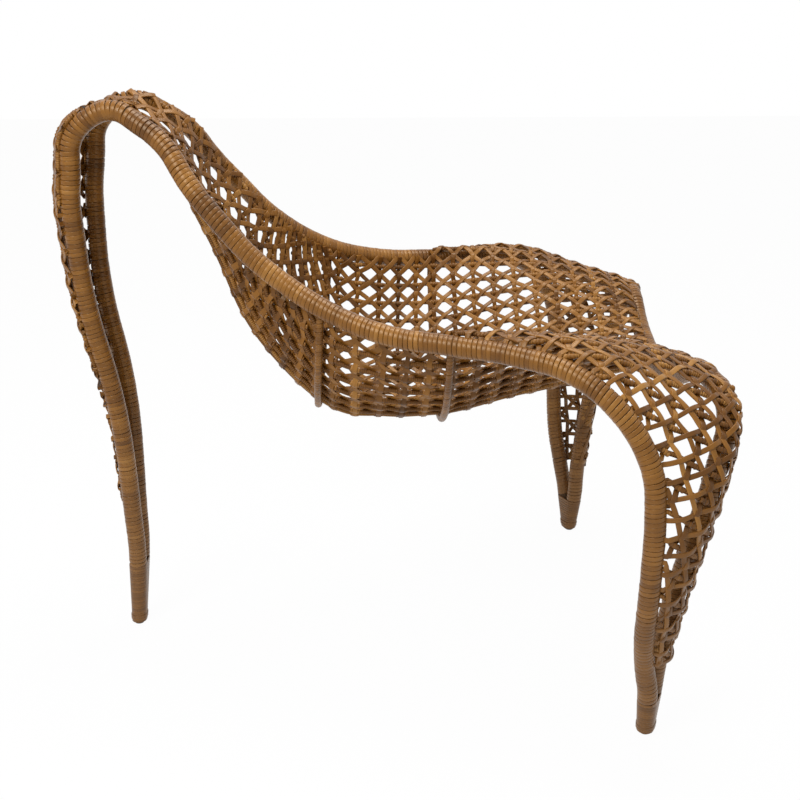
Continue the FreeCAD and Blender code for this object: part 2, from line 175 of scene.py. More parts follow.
def smoothThrough(xs, ys, x):
    # cubic curve through the values, with the parabola's slope at each of them
    xs, ys, x = np.asarray(xs, float), np.asarray(ys, float), np.asarray(x, float)
    flat = ys.reshape(len(xs), -1)
    steps = np.diff(xs)[:, None]
    rises = np.diff(flat, axis=0) / steps
    inner = (rises[:-1] * steps[1:] + rises[1:] * steps[:-1]) / (steps[1:] + steps[:-1])
    slopes = np.vstack([2 * rises[:1] - inner[:1], inner, 2 * rises[-1:] - inner[-1:]])
    i = np.clip(np.searchsorted(xs, x, side="right") - 1, 0, len(xs) - 2)
    t = ((x - xs[i]) / (xs[i + 1] - xs[i]))[:, None]
    h = steps[i]
    value = ((2 * t**3 - 3 * t**2 + 1) * flat[i] + (t**3 - 2 * t**2 + t) * h * slopes[i]
             + (3 * t**2 - 2 * t**3) * flat[i + 1] + (t**3 - t**2) * h * slopes[i + 1])
    return value.reshape((len(x),) + ys.shape[1:])


sidePoints = place(sideRoute)
archHalfPoints = place(archHalf)
archPoints = np.vstack([archHalfPoints[:0:-1] * mirrorX, archHalfPoints])
archMiddle = len(archHalf) - 1
leftSide = bendRoute(sidePoints)
rightSide = (leftSide[0] * mirrorX, leftSide[1])
arch = bendRoute(archPoints)
sideDirs = bendDirections(sidePoints)
poleAxes = np.vstack([leftSide[0], rightSide[0], arch[0]])
print("poles laid out")


# The lattice: reeds run lengthwise and columns crosswise; the diagonals pass over the reeds, and the columns
# pass over the diagonals and behind the reeds
lattice = {
    "cell": 34 * mm, "backCell": 33 * mm, "seatReeds": 10, "blend": 0.25, "hipColumn": 40.5,
    "crossShift": 0.09, "shiftReach": 2, "crestFlat": 0.4, "crestReach": 0.3,
    "step": 4.2 * mm, "smoothings": 2, "shortest": 20 * mm, "joinWithin": 7 * mm,
    "tuck": 8 * mm, "tuckWithin": 30 * mm,
    "reedRadius": 3.4 * mm, "reedSides": 8, "columnDrop": 4.3 * mm, "columnRise": 3.2 * mm,
    "starLift": 0.6 * mm, "reedLift": 4.7 * mm, "pairGap": 0.85 * mm,
    "columnSize": (6.8 * mm, 1.7 * mm), "diagonalSize": (6.9 * mm, 1.7 * mm),
    "widths": (0.9, 1.12), "backSwell": 0.18, "backReach": 6,
    "wander": 0.7 * mm, "wanderRows": 6, "toneSpread": 0.22,
}

# The woven sheet, as half sections from the middle line to the edge: rows run lengthwise, columns crosswise
sheet = {"rowStep": 7 * mm, "across": 44, "rollRows": 52, "pastRoll": 2, "levelAt": (-60, 0)}


def poleEdge(at, drop, lean, seat=chair["weaveSeat"] * mm):
    # where the weave meets a side pole, the way it leaves the pole, its middle, and the normals at both
    pole = lookUp(leftSide, at)
    lean = np.radians(lean)
    up = np.stack([0 * lean, -np.cos(lean), np.sin(lean)], axis=-1)
    inward = -leftward
    grip = (2 * np.arctan((drop * mm + seat) / pole[..., 0]))[..., None]
    normal = up * np.cos(grip) + inward * np.sin(grip)
    direction = inward * np.cos(grip) - up * np.sin(grip)
    middle = pole * np.array([0.0, 1, 1]) - up * (drop * mm)[..., None]
    return pole + normal * seat, direction, middle, normal, up


def rollEdge(rows):
    # the same for sections between the thigh rolls, without the normals
    slope = np.radians(rows[:, 4])
    edge = place(rows[:, :3])
    direction = np.stack([-np.cos(slope), 0 * slope, -np.sin(slope)], axis=1)
    middle = place(np.stack([0 * slope, rows[:, 1], rows[:, 3]], axis=1))
    return edge, direction, middle


def rollRowsBetween(forwards):
    # the seat's last pole sections count as rolls too, so the edge turns smoothly into the roll
    known = []
    for section in poleSections[-2:]:
        edge, direction, middle = poleEdge(*[np.array(float(value)) for value in section])[:3]
        slope = math.degrees(math.atan2(-direction[2], -direction[0]))
        known.append((edge[0] / mm, forwardOf(edge), edge[2] / mm, middle[2] / mm, slope))
    known = np.array(known + rollSections, float)
    return smoothThrough(known[:, 1], known, forwards)


def sectionPoles(edge, direction, middle):
    # curve poles of each half section: level at the middle line, and along its own direction at the edge
    reach = np.linalg.norm(edge - middle, axis=1, keepdims=True) * handleShare
    return np.stack([middle, middle + leftward * reach, edge + direction * reach, edge], axis=1)


def bezier(poles, t):
    # poles is rows x 4 x 3
    t = t[None, :, None]
    a, b, c, d = [poles[:, k][:, None, :] for k in range(4)]
    return a * (1 - t)**3 + 3 * b * t * (1 - t)**2 + 3 * c * t**2 * (1 - t) + d * t**3


def layMainSheet():
    sections = np.array(poleSections, float)
    places = leftSide[1]
    lengths = runLengths(leftSide[0])
    lengthAt = np.interp(sections[:, 0], places, lengths)
    count = int((lengthAt[-1] - lengthAt[0]) / sheet["rowStep"])
    along = np.linspace(lengthAt[0], lengthAt[-1], count)
    shape = smoothThrough(lengthAt, sections[:, 1:], along)
    onPoles = poleEdge(np.interp(along, lengths, places), shape[:, 0], shape[:, 1])
    start = sideRoute[poleSections[-1][0]][1]
    forwards = np.linspace(start, rollSections[-1][1] + sheet["pastRoll"], sheet["rollRows"])[1:]
    onRolls = rollEdge(rollRowsBetween(forwards))
    edge, direction, middle = [np.vstack(pair) for pair in zip(onPoles, onRolls)]
    points = bezier(sectionPoles(edge, direction, middle), np.linspace(0, 1, sheet["across"]))
    hipRow = int(np.searchsorted(along, np.interp(chair["rearRibAt"], places, lengths)))
    chart = chartMainSheet(points, runLengths(middle), hipRow)
    return {"points": points, **chart, "forward": forwardOf(points[:, -1]), "firstRoll": count - 1}


def chartMainSheet(points, along, hipRow):
    # p counts columns lengthwise and q reeds crosswise, and rise is the strands' share of their full height
    q = crossLengths(points)
    spacing = q[:, -1] / lattice["seatReeds"]
    aside = np.clip((along[hipRow] - along[:hipRow]) / lattice["blend"], 0, 1)
    spacing[:hipRow] = spacing[hipRow] * (1 - aside) + lattice["backCell"] * aside
    p = (along - along[hipRow]) / lattice["cell"] + lattice["hipColumn"]
    crest = points[:, 0, 2].argmax()
    near = np.clip(1 - np.abs(p - p[crest]) * lattice["cell"] / lattice["crestReach"], 0, 1)
    rise = 1 - lattice["crestFlat"] * near
    p, rise = [np.repeat(values[:, None], points.shape[1], axis=1) for values in (p, rise)]
    return {"p": p, "q": q / spacing[:, None], "rise": rise}


# The knee strip, from the thigh roll and the arch out to the side pole
knee = {"grip": 40, "rollRows": 9, "legStep": 0.5, "rowStep": 5 * mm, "across": 26, "levelAt": (10, 8)}


def kneeRow(start, startDir, at, slope):
    # curve poles of one section that bulges outwards; one from the arch comes without a start direction
    outer = lookUp(leftSide, at)
    axis = np.array([np.interp(at, np.arange(len(sideDirs)), sideDirs[:, k]) for k in range(3)])
    rise, grip = math.radians(slope), math.radians(knee["grip"])
    if startDir is None:
        across = unit(outer - start)
        out = unit(np.cross(across, axis))
        out = out if out[0] > 0 else -out
        startDir = across * math.cos(rise) + out * math.sin(rise)
        start = start + (out * math.cos(rise) - across * math.sin(rise)) * chair["weaveSeat"] * mm
    back = unit(start - outer)
    out = unit(np.cross(back, axis))
    out = out if out[0] + out[2] > 0 else -out
    back = unit(back - out * (back @ out))
    endDir = back * math.cos(rise) + out * math.sin(rise)
    end = outer + (out * math.cos(grip) + back * math.sin(grip)) * chair["kneeSeat"] * mm
    reach = np.linalg.norm(end - start) * handleShare
    return np.stack([start, start + startDir * reach, end + endDir * reach, end])


def layKneeStrip(main):
    rollForwards = [sideRoute[chair["middleRibAt"]][1]] + [row[1] for row in rollSections]
    forwards = np.linspace(rollForwards[0], rollForwards[-1], knee["rollRows"])
    edge, direction, _ = rollEdge(rollRowsBetween(forwards))
    outerAt = smoothThrough(rollForwards, [chair["middleRibAt"]] + rollOuterPlaces, forwards)
    slopes = np.interp(forwards, rollForwards, rollSlopes[:1] + rollSlopes)
    poles = [kneeRow(*row) for row in zip(edge, -direction, outerAt, slopes)]
    onArch, onSide, slopes = np.array(legPlaces, float).T
    for at in np.arange(onArch[0], onArch[-1] + tiny, knee["legStep"]):
        start = lookUp(arch, archMiddle + at)
        poles.append(kneeRow(start, None, np.interp(at, onArch, onSide), np.interp(at, onArch, slopes)))
    poles = np.stack(poles)
    steps = np.concatenate([[0], np.cumsum(np.linalg.norm(np.diff(poles, axis=0), axis=2).mean(1))])
    along = np.linspace(0, steps[-1], int(steps[-1] / knee["rowStep"]))
    points = bezier(smoothThrough(steps, poles, along), np.linspace(0, 1, knee["across"]))
    onRoll = along <= steps[len(forwards) - 1] + tiny
    p, q = unroll(points, onRoll, main)
    return {"points": points, "p": p, "q": q, "rise": np.ones_like(p)}


def meet(a, b, ra, rb, side):
    # the point at distances ra and rb from two flat points, on the stated side of the line between them
    gap = b - a
    d = np.linalg.norm(gap)
    u = gap / d
    x = (ra * ra - rb * rb + d * d) / (2 * d)
    y = math.sqrt(max(ra * ra - x * x, 0))
    return a + u * x + np.array([-u[1], u[0]]) * y * side


def unroll(points, onRoll, main):
    # lays the knee strip flat beside the seat, keeping the strip's own lengths
    inner, outer = points[:, 0], points[:, -1]
    share = crossLengths(points)
    total = share[:, -1]
    rolls = slice(main["firstRoll"], None)
    flatInner, flatOuter = np.zeros((len(points), 2)), np.zeros((len(points), 2))
    for i in range(len(points)):
        if onRoll[i]:
            column = np.interp(forwardOf(inner[i]), main["forward"][rolls], main["p"][rolls, 0])
            flatInner[i] = np.array([column, lattice["seatReeds"]]) * lattice["cell"]
        else:
            run = np.linalg.norm(inner[i] - inner[i - 1])
            width = np.linalg.norm(inner[i - 1] - outer[i - 1])
            cross = np.linalg.norm(inner[i] - outer[i - 1]) * total[i - 1] / width
            flatInner[i] = meet(flatInner[i - 1], flatOuter[i - 1], run, cross, -1)
        if i == 0:
            flatOuter[i] = flatInner[i] + np.array([0, total[i]])
            continue
        run = np.linalg.norm(outer[i] - outer[i - 1])
        flatOuter[i] = meet(flatOuter[i - 1], flatInner[i], run, total[i], 1)
    t = (share / total[:, None])[..., None]
    flat = (flatInner[:, None] * (1 - t) + flatOuter[:, None] * t) / lattice["cell"]
    return flat[..., 0], flat[..., 1]


# The turn round the front pole: angles are in radians, and lift is from the pole's centre line
archTurn = {"angle": 2.7, "settle": 0.5, "rows": 18, "lift": 14.7 * mm, "rise": 0.25, "within": 26 * mm}


def layArchWrap(strip):
    # carries the knee strip on round the front pole, where the lace turns over it
    inner = strip["points"][:, 0]
    leave = inner - strip["points"][:, 1]
    axis = arch[0]
    nearest = [int(np.linalg.norm(axis - point, axis=1).argmin()) for point in inner]
    centre = axis[nearest]
    tangent = unit(np.gradient(axis, axis=0))[nearest]
    radial = inner - centre
    radial = radial - tangent * (radial * tangent).sum(1, keepdims=True)
    gap = np.linalg.norm(radial, axis=1)
    first = int(np.nonzero(gap > archTurn["within"])[0].max()) + 1
    up = unit(radial)
    side = unit(np.cross(tangent, up))
    side = side * np.sign((side * leave).sum(1, keepdims=True))
    turn = np.linspace(0, archTurn["angle"], archTurn["rows"])
    settle = np.clip(turn / archTurn["settle"], 0, 1)
    radius = gap[:, None] * (1 - settle) + archTurn["lift"] * settle
    out = up[:, None] * np.cos(turn)[None, :, None] + side[:, None] * np.sin(turn)[None, :, None]
    points = centre[:, None] + out * radius[..., None]
    flat = np.stack([strip["p"], strip["q"]], axis=2)
    heading = unit(flat[:, 0] - flat[:, 1])
    run = turn * archTurn["lift"] / lattice["cell"]
    p = strip["p"][:, :1] + heading[:, :1] * run
    q = strip["q"][:, :1] + heading[:, 1:] * run
    return {"points": points[first:], "normals": out[first:], "p": p[first:], "q": q[first:],
            "rise": np.full_like(p[first:], archTurn["rise"])}


def upNormals(points, row, column):
    # a grid's normals, turned so that they point up at a place that is known to face up
    normals = unit(np.cross(np.gradient(points, axis=1), np.gradient(points, axis=0)))
    return normals * np.sign(normals[row, column, 2])


def traceLevel(field, level):
    # lines through the grid where the field has one value, as lists of fractional row and column
    above = field > level
    crossings = {}
    rowsCut, colsCut = np.nonzero(above[:-1] != above[1:])
    for i, j in zip(rowsCut, colsCut):
        t = (level - field[i, j]) / (field[i + 1, j] - field[i, j])
        crossings[("r", i, j)] = (i + t, float(j))
    rowsCut, colsCut = np.nonzero(above[:, :-1] != above[:, 1:])
    for i, j in zip(rowsCut, colsCut):
        t = (level - field[i, j]) / (field[i, j + 1] - field[i, j])
        crossings[("c", i, j)] = (float(i), j + t)
    links = {key: [] for key in crossings}
    cells = {(key[1] - a, key[2] - b) for key in crossings
             for a, b in ((0, 0), ((0, 1) if key[0] == "r" else (1, 0)))}
    for i, j in cells:
        sides = [("r", i, j), ("r", i, j + 1), ("c", i, j), ("c", i + 1, j)]
        found = [key for key in sides if key in crossings]
        for a, b in zip(found[::2], found[1::2]):
            links[a].append(b)
            links[b].append(a)
    lines, seen = [], set()
    for start in sorted(crossings, key=lambda key: len(links[key])):
        if start in seen:
            continue
        line, here = [], start
        while here is not None:
            seen.add(here)
            line.append(crossings[here])
            here = next((key for key in links[here] if key not in seen), None)
        if len(line) > 1:
            lines.append(np.array(line))
    return lines


def readGrid(values, line):
    i = np.clip(line[:, 0].astype(int), 0, values.shape[0] - 2)
    j = np.clip(line[:, 1].astype(int), 0, values.shape[1] - 2)
    a = (line[:, 0] - i).reshape((-1,) + (1,) * (values.ndim - 2))
    b = (line[:, 1] - j).reshape(a.shape)
    return (values[i, j] * (1 - a) * (1 - b) + values[i + 1, j] * a * (1 - b)
            + values[i, j + 1] * (1 - a) * b + values[i + 1, j + 1] * a * b)


mainSheet = layMainSheet()
mainSheet["normals"] = upNormals(mainSheet["points"], *sheet["levelAt"])
kneeStrip = layKneeStrip(mainSheet)
kneeStrip["normals"] = upNormals(kneeStrip["points"], *knee["levelAt"])
archWrap = layArchWrap(kneeStrip)
print("sheet rows", mainSheet["points"].shape, "strip rows", kneeStrip["points"].shape)
print("columns", mainSheet["p"].max(), "reeds to the edge", mainSheet["q"].max())
print("reeds with the knee", kneeStrip["q"].max())


def crossPhase(q):
    # the diagonals cross each other a little outside each reed, and evenly at the middle line
    away = np.clip(np.abs(q) / lattice["shiftReach"], 0, 1)
    return q - np.sign(q) * lattice["crossShift"] * away * away * (3 - 2 * away)


def readLine(grid, line, sign):
    # what a strand needs along one traced line, mirrored for the other side
    read = {key: readGrid(grid[key], line) for key in ("points", "normals", "p", "q", "rise")}
    flips = {"points": mirrorX, "normals": mirrorX, "q": -1}
    return {key: values * flips.get(key, 1) if sign < 0 else values for key, values in read.items()}


def gatherLines(kind, levels):
    # each family's half lines, then the mirrored halves that carry on across the middle line
    combine = {"reed": lambda p, q: q, "column": lambda p, q: p,
               "rising": lambda p, q: p + crossPhase(q), "falling": lambda p, q: p - crossPhase(q)}
    twin = {"reed": "reed", "column": "column", "rising": "falling", "falling": "rising"}
    grids = (mainSheet, kneeStrip) if kind == "reed" else (mainSheet, kneeStrip, archWrap)
    pieces = {}
    for level in levels:
        found = []
        for grid, (source, sign) in itertools.product(grids, ((kind, 1), (twin[kind], -1))):
            if kind == "reed" and sign * level < 0:
                continue
            field = combine[source](grid["p"], grid["q"])
            for line in traceLevel(field, abs(level) if kind == "reed" else level):
                found.append(readLine(grid, line, sign))
        pieces[level] = joinLines(found)
    return pieces


def joinTwo(one, two):
    # both lines as one, if an end of the first meets an end of the second
    for flipOne, flipTwo in itertools.product((False, True), repeat=2):
        first = {key: values[::-1] if flipOne else values for key, values in one.items()}
        second = {key: values[::-1] if flipTwo else values for key, values in two.items()}
        if np.linalg.norm(first["points"][-1] - second["points"][0]) < lattice["joinWithin"]:
            return {key: np.concatenate([first[key], second[key]]) for key in first}
    return None


def joinLines(found):
    merged = True
    while merged:
        merged = False
        for a, b in itertools.combinations(range(len(found)), 2):
            joined = joinTwo(found[a], found[b])
            if joined is not None:
                found[a] = joined
                del found[b]
                merged = True
                break
    return found


def evenly(line, step):
    along = runLengths(line["points"])
    count = max(int(along[-1] / step), 3)
    at = np.linspace(0, along[-1], count + 1)
    out = {}
    for key, values in line.items():
        flat = values.reshape(len(values), -1)
        even = np.stack([np.interp(at, along, flat[:, k]) for k in range(flat.shape[1])], axis=1)
        for _ in range(lattice["smoothings"]):
            even[1:-1] = even[1:-1] * 0.5 + (even[:-2] + even[2:]) * 0.25
        out[key] = even.reshape((len(at),) + values.shape[1:])
    out["normals"] = unit(out["normals"])
    return out


def tuckEnds(points, normals):
    # each end dives into the pole beside it
    for end in (0, -1):
        gaps = np.linalg.norm(poleAxes - points[end], axis=1)
        if gaps.min() >= lattice["tuckWithin"]:
            continue
        axis = poleAxes[gaps.argmin()]
        target = axis + unit(points[end] - axis) * lattice["tuck"]
        at = 0 if end == 0 else len(points)
        points = np.insert(points, at, target, axis=0)
        normals = np.insert(normals, at, normals[end], axis=0)
    return points, normals


class Strands:
    # swept cane gathered into one mesh, with a flat map along each strand and a tone for each
    ring = np.array([(-0.5, -0.5), (-0.5, 0.1), (-0.45, 0.36), (-0.34, 0.46),
                     (0.34, 0.46), (0.45, 0.36), (0.5, 0.1), (0.5, -0.5)])
    sharpFrom = 50

    def __init__(self):
        self.verts, self.faces, self.uvs, self.tones = [], [], [], []
        self.count = 0

    def sweep(self, points, normals, width, thick, tone, ring=None, closed=False, shift=0.0):
        ring = self.ring if ring is None else ring
        sides, rows = len(ring), len(points)
        if closed:
            tangents = unit(np.roll(points, -1, axis=0) - np.roll(points, 1, axis=0))
        else:
            tangents = unit(np.gradient(points, axis=0))
        across = unit(np.cross(tangents, normals))
        up = np.cross(across, tangents)
        body = (points[:, None] + across[:, None] * ring[None, :, :1] * width
                + up[:, None] * ring[None, :, 1:] * thick)
        base = self.count
        self.verts.append(body.reshape(-1, 3))
        self.tones.append(np.repeat(np.broadcast_to(tone, rows), sides))
        self.count += rows * sides
        last = rows if closed else rows - 1
        i, k = np.meshgrid(np.arange(last), np.arange(sides), indexing="ij")
        nextRow, nextSide = (i + 1) % rows * sides, (k + 1) % sides
        quads = np.stack([i * sides + k, i * sides + nextSide, nextRow + nextSide, nextRow + k], axis=-1)
        self.faces.append(quads.reshape(-1, 4) + base)
        along = runLengths(np.vstack([points, points[:1]]) if closed else points) + shift
        u0, u1 = along[i], along[i + 1]
        v0, v1 = k / sides, (k + 1) / sides
        corners = np.stack([np.stack([u0, v0], -1), np.stack([u0, v1], -1),
                            np.stack([u1, v1], -1), np.stack([u1, v0], -1)], axis=2)
        self.uvs.append(corners.reshape(-1, 2))
        if not closed:
            self.close(base, sides, 0, 1, along[0])
            self.close(base, sides, rows - 1, -1, along[-1])

    def close(self, base, sides, row, order, at):
        # a strip of quads over one end
        ends = base + row * sides + np.arange(sides)[::order]
        for k in range(1, sides // 2):
            cap = [ends[k - 1], ends[k], ends[sides - k - 1], ends[sides - k]]
            self.faces.append(np.array([cap]))
            self.uvs.append(np.full((4, 2), at))

    def make(self, name, material, slotName, nodes):
        faces = np.concatenate(self.faces)
        mesh = bpy.data.meshes.new(name)
        mesh.from_pydata(np.concatenate(self.verts).tolist(), [], faces.tolist())
        layer = mesh.uv_layers.new(name="strand")
        layer.data.foreach_set("uv", np.concatenate(self.uvs).astype(np.float32).ravel())
        tone = mesh.attributes.new("tone", "FLOAT", "POINT")
        tone.data.foreach_set("value", np.concatenate(self.tones).astype(np.float32))
        mesh.polygons.foreach_set("use_smooth", np.ones(len(faces), bool))
        mesh.set_sharp_from_angle(angle=math.radians(self.sharpFrom))
        mesh.update()
        piece = bpy.data.objects.new(name, mesh)
        bpy.context.scene.collection.objects.link(piece)
        piece.data.materials.append(material)
        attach(piece, "root")
        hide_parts(*nodes)
        print(name, len(faces), "faces")


class Socket:
    # a node's output that takes part in sums
    def __init__(self, maker, output):
        self.maker, self.output = maker, output

    def __add__(self, other):
        return self.maker.node("ShaderNodeMath", {"operation": "ADD"}, {0: self, 1: other})

    def __mul__(self, other):
        return self.maker.node("ShaderNodeMath", {"operation": "MULTIPLY"}, {0: self, 1: other})


class Maker:
    # builds one material's nodes
    def __init__(self, name):
        self.material = bpy.data.materials.new(name)
        self.material.use_nodes = True
        self.tree = self.material.node_tree
        self.surface = self.tree.nodes["Principled BSDF"]

    def node(self, kind, settings, inputs, output=0):
        made = self.tree.nodes.new(kind)
        for key, value in settings.items():
            setattr(made, key, value)
        for key, value in inputs.items():
            self.feed(made.inputs[key], value)
        return Socket(self, made.outputs[output])

    def feed(self, socket, value):
        if isinstance(value, Socket):
            self.tree.links.new(value.output, socket)
        else:
            socket.default_value = value

    def grown(self):
        return self.node("ShaderNodeTexCoord", {}, {}, "Object")

    def noise(self, at, scale, detail=2.0, roughness=0.5):
        inputs = {"Vector": at, "Scale": scale, "Detail": detail, "Roughness": roughness}
        return self.node("ShaderNodeTexNoise", {}, inputs, "Fac")

    def ramp(self, stops, level):
        made = self.tree.nodes.new("ShaderNodeValToRGB")
        elements = made.color_ramp.elements
        while len(elements) < len(stops):
            elements.new(0.5)
        for stop, (at, colour) in zip(elements, stops):
            stop.position = at
            stop.color = (*colour, 1)
        self.feed(made.inputs["Fac"], level)
        return Socket(self, made.outputs[0])

    def blend(self, share, one, two):
        return self.node("ShaderNodeMix", {"data_type": "RGBA"}, {0: share, 6: one, 7: two}, 2)

    def mapRange(self, value, start, end, low, high):
        return self.node("ShaderNodeMapRange", {"clamp": True}, {0: value, 1: start, 2: end, 3: low, 4: high})

    def bump(self, height, strength, depth):
        return self.node("ShaderNodeBump", {}, {"Strength": strength, "Distance": depth, "Height": height})

    def finish(self, **inputs):
        for key, value in inputs.items():
            self.feed(self.surface.inputs[key.replace("_", " ")], value)
        return self.material


# Cane: a tone for each strand, grain along it, patches and blotches over the chair, dust near the floor, and
# painted shade in the wound reed's ring grooves
cane = {
    "grainDetail": 4.0, "grainRoughness": 0.6, "patchScale": 9.0, "patchDetail": 3.0,
    "blotchScale": 60.0, "blotchShare": 0.16, "dustFrom": 0.42, "dustFull": 0.06,
    # painted shade: the ring grooves of the wound reed are darkened by up to the share given below
    "ringRelief": 0.5, "grainRelief": 0.4, "grooveEnd": -0.4, "paintedGrooveShade": 0.45, "bumpDepth": 0.6 * mm,
    "grainRough": 0.18, "patchRough": 0.10, "sheen": (1, 0.84, 0.62, 1),
}


def caneMaterial(name, look):
    maker = Maker(name)
    spot = maker.node("ShaderNodeUVMap", {"uv_map": "strand"}, {})
    tone = maker.node("ShaderNodeAttribute", {"attribute_name": "tone"}, {}, "Fac")
    grown = maker.grown()
    stretch = (look["grainAlong"], look["grainAcross"], 1)
    grainAt = maker.node("ShaderNodeMapping", {}, {"Vector": spot, "Scale": stretch})
    grain = maker.noise(grainAt, 1.0, cane["grainDetail"], cane["grainRoughness"])
    patch = maker.noise(grown, cane["patchScale"], cane["patchDetail"])
    blotch = maker.noise(grown, cane["blotchScale"])
    level = tone * look["toneShare"] + grain * look["grainShare"] + patch * look["patchShare"]
    colour = maker.ramp(look["stops"], level + blotch * cane["blotchShare"])
    height = maker.node("ShaderNodeSeparateXYZ", {}, {"Vector": grown}, "Z")
    dust = maker.mapRange(height, cane["dustFrom"], cane["dustFull"], 0.0, look["dust"])
    colour = maker.blend(dust, colour, (*look["dustColour"], 1))
    relief = grain
    if look["rings"]:
        run = maker.node("ShaderNodeSeparateXYZ", {}, {"Vector": spot}, "X")
        wave = maker.node("ShaderNodeMath", {"operation": "SINE"}, {0: run * (2 * math.pi / look["rings"])})
        relief = wave * cane["ringRelief"] + grain * cane["grainRelief"]
        # painted shade: darkens the grooves between the rings towards the darkest cane colour
        paintedShade = maker.mapRange(wave, -1.0, cane["grooveEnd"], cane["paintedGrooveShade"], 0.0)
        colour = maker.blend(paintedShade, colour, (*look["stops"][0][1], 1))
    rough = grain * cane["grainRough"] + patch * cane["patchRough"] + look["rough"]
    bump = maker.bump(relief, look["bump"], cane["bumpDepth"])
    return maker.finish(Base_Color=colour, Roughness=rough, Normal=bump,
                        Specular_IOR_Level=look["gloss"], Specular_Tint=cane["sheen"])


honey = {
    "stops": [(0.18, (0.028, 0.010, 0.0025)), (0.42, (0.125, 0.046, 0.0070)),
              (0.62, (0.236, 0.097, 0.0155)), (0.85, (0.40, 0.195, 0.048))],
    "dust": 0.5, "dustColour": (0.165, 0.085, 0.040), "rings": 0,
}
windingCane = caneMaterial("winding cane", {
    **honey, "grainAlong": 26, "grainAcross": 7, "toneShare": 0.46, "grainShare": 0.30, "patchShare": 0.18,
    "bump": 0.25, "rough": 0.19, "gloss": 0.42})
weaveCane = caneMaterial("weave cane", {
    **honey, "grainAlong": 30, "grainAcross": 6, "toneShare": 0.42, "grainShare": 0.32, "patchShare": 0.20,
    "bump": 0.3, "rough": 0.22, "gloss": 0.36})
reedCane = caneMaterial("wound reed", {
    **honey, "grainAlong": 60, "grainAcross": 5, "toneShare": 0.40, "grainShare": 0.32, "patchShare": 0.20,
    "rings": 3.0 * mm, "bump": 0.9, "rough": 0.34, "gloss": 0.35})
bareRattan = caneMaterial("bare rattan", {
    "stops": [(0.2, (0.03, 0.014, 0.006)), (0.7, (0.12, 0.06, 0.025))],
    "dust": 0.2, "dustColour": (0.2, 0.12, 0.07), "rings": 0,
    "grainAlong": 1, "grainAcross": 1, "toneShare": 0.0, "grainShare": 0.30, "patchShare": 0.30,
    "bump": 0.2, "rough": 0.45, "gloss": 0.3})

rubberLook = {"stops": [(0.3, (0.012, 0.011, 0.010)), (0.8, (0.045, 0.040, 0.036))],
              "gritScale": 400.0, "gritDetail": 3.0, "gritRough": 0.3, "rough": 0.55,
              "bump": 0.3, "bumpDepth": 0.4 * mm}


def rubberMaterial():
    maker = Maker("glide rubber")
    grit = maker.noise(maker.grown(), rubberLook["gritScale"], rubberLook["gritDetail"])
    return maker.finish(Base_Color=maker.ramp(rubberLook["stops"], grit),
                        Roughness=grit * rubberLook["gritRough"] + rubberLook["rough"],
                        Normal=maker.bump(grit, rubberLook["bump"], rubberLook["bumpDepth"]))


steelLook = {"stops": [(0.2, (0.30, 0.29, 0.28)), (0.9, (0.58, 0.57, 0.55))],
             "scratchScale": 700.0, "scratchRough": 0.3, "rough": 0.25}


def steelMaterial():
    maker = Maker("nail steel")
    scratch = maker.noise(maker.grown(), steelLook["scratchScale"])
    return maker.finish(Base_Color=maker.ramp(steelLook["stops"], scratch), Metallic=1.0,
                        Roughness=scratch * steelLook["scratchRough"] + steelLook["rough"])


hardware = {"glide": rubberMaterial(), "nails": steelMaterial()}
for name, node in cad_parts.items():
    chosen = next((material for word, material in hardware.items() if word in name), bareRattan)
    node.data.materials.clear()
    node.data.materials.append(chosen)
print("materials made")

middleTone = 0.5
reedAngles = np.linspace(0, 2 * math.pi, lattice["reedSides"], endpoint=False)
reedRing = np.stack([-np.cos(reedAngles), np.sin(reedAngles)], axis=1) / 2


def weave():
    farP = int(kneeStrip["p"].max()) + 2
    farQ = int(kneeStrip["q"].max()) + 2
    families = {
        "reed": gatherLines("reed", [sign * (k + 0.5) for k in range(farQ) for sign in (1, -1)]),
        "column": gatherLines("column", range(1, farP)),
        "rising": gatherLines("rising", range(-farQ, farP + farQ)),
        "falling": gatherLines("falling", range(-farQ, farP + farQ)),
    }
    pieces = {kind: Strands() for kind in families}
    knots = Strands()
    for kind, byLevel in families.items():
        for line in itertools.chain(*byLevel.values()):
            if runLengths(line["points"])[-1] >= lattice["shortest"]:
                layStrand(pieces[kind], knots, kind, evenly(line, lattice["step"]))
    woven = ["rear_leg_lattice", "back_lattice", "seat_lattice", "right_knee_lattice", "left_knee_lattice"]
    pieces["reed"].make("lengthwiseReeds", reedCane, "weave", woven)
    pieces["column"].make("crosswiseCanes", weaveCane, "weave", woven)
    pieces["rising"].make("risingDiagonals", weaveCane, "weave", woven)
    pieces["falling"].make("fallingDiagonals", weaveCane, "weave", woven)
    knots.make("reedKnots", weaveCane, "weave", woven)


def strandHeight(kind, line):
    # how far the strand stands off the sheet along its normal
    atReed = np.sin(math.pi * line["q"])**2
    if kind == "reed":
        return 0 * atReed
    if kind == "column":
        height = lattice["columnRise"] * (1 - atReed) - lattice["columnDrop"] * atReed
    else:
        atCross = np.sin(math.pi * crossPhase(line["q"]))**2
        gap = lattice["pairGap"] * (1 if kind == "rising" else -1)
        height = lattice["starLift"] * (1 - atReed) + lattice["reedLift"] * atReed + gap * (1 - 2 * atCross)
    return height * line["rise"]


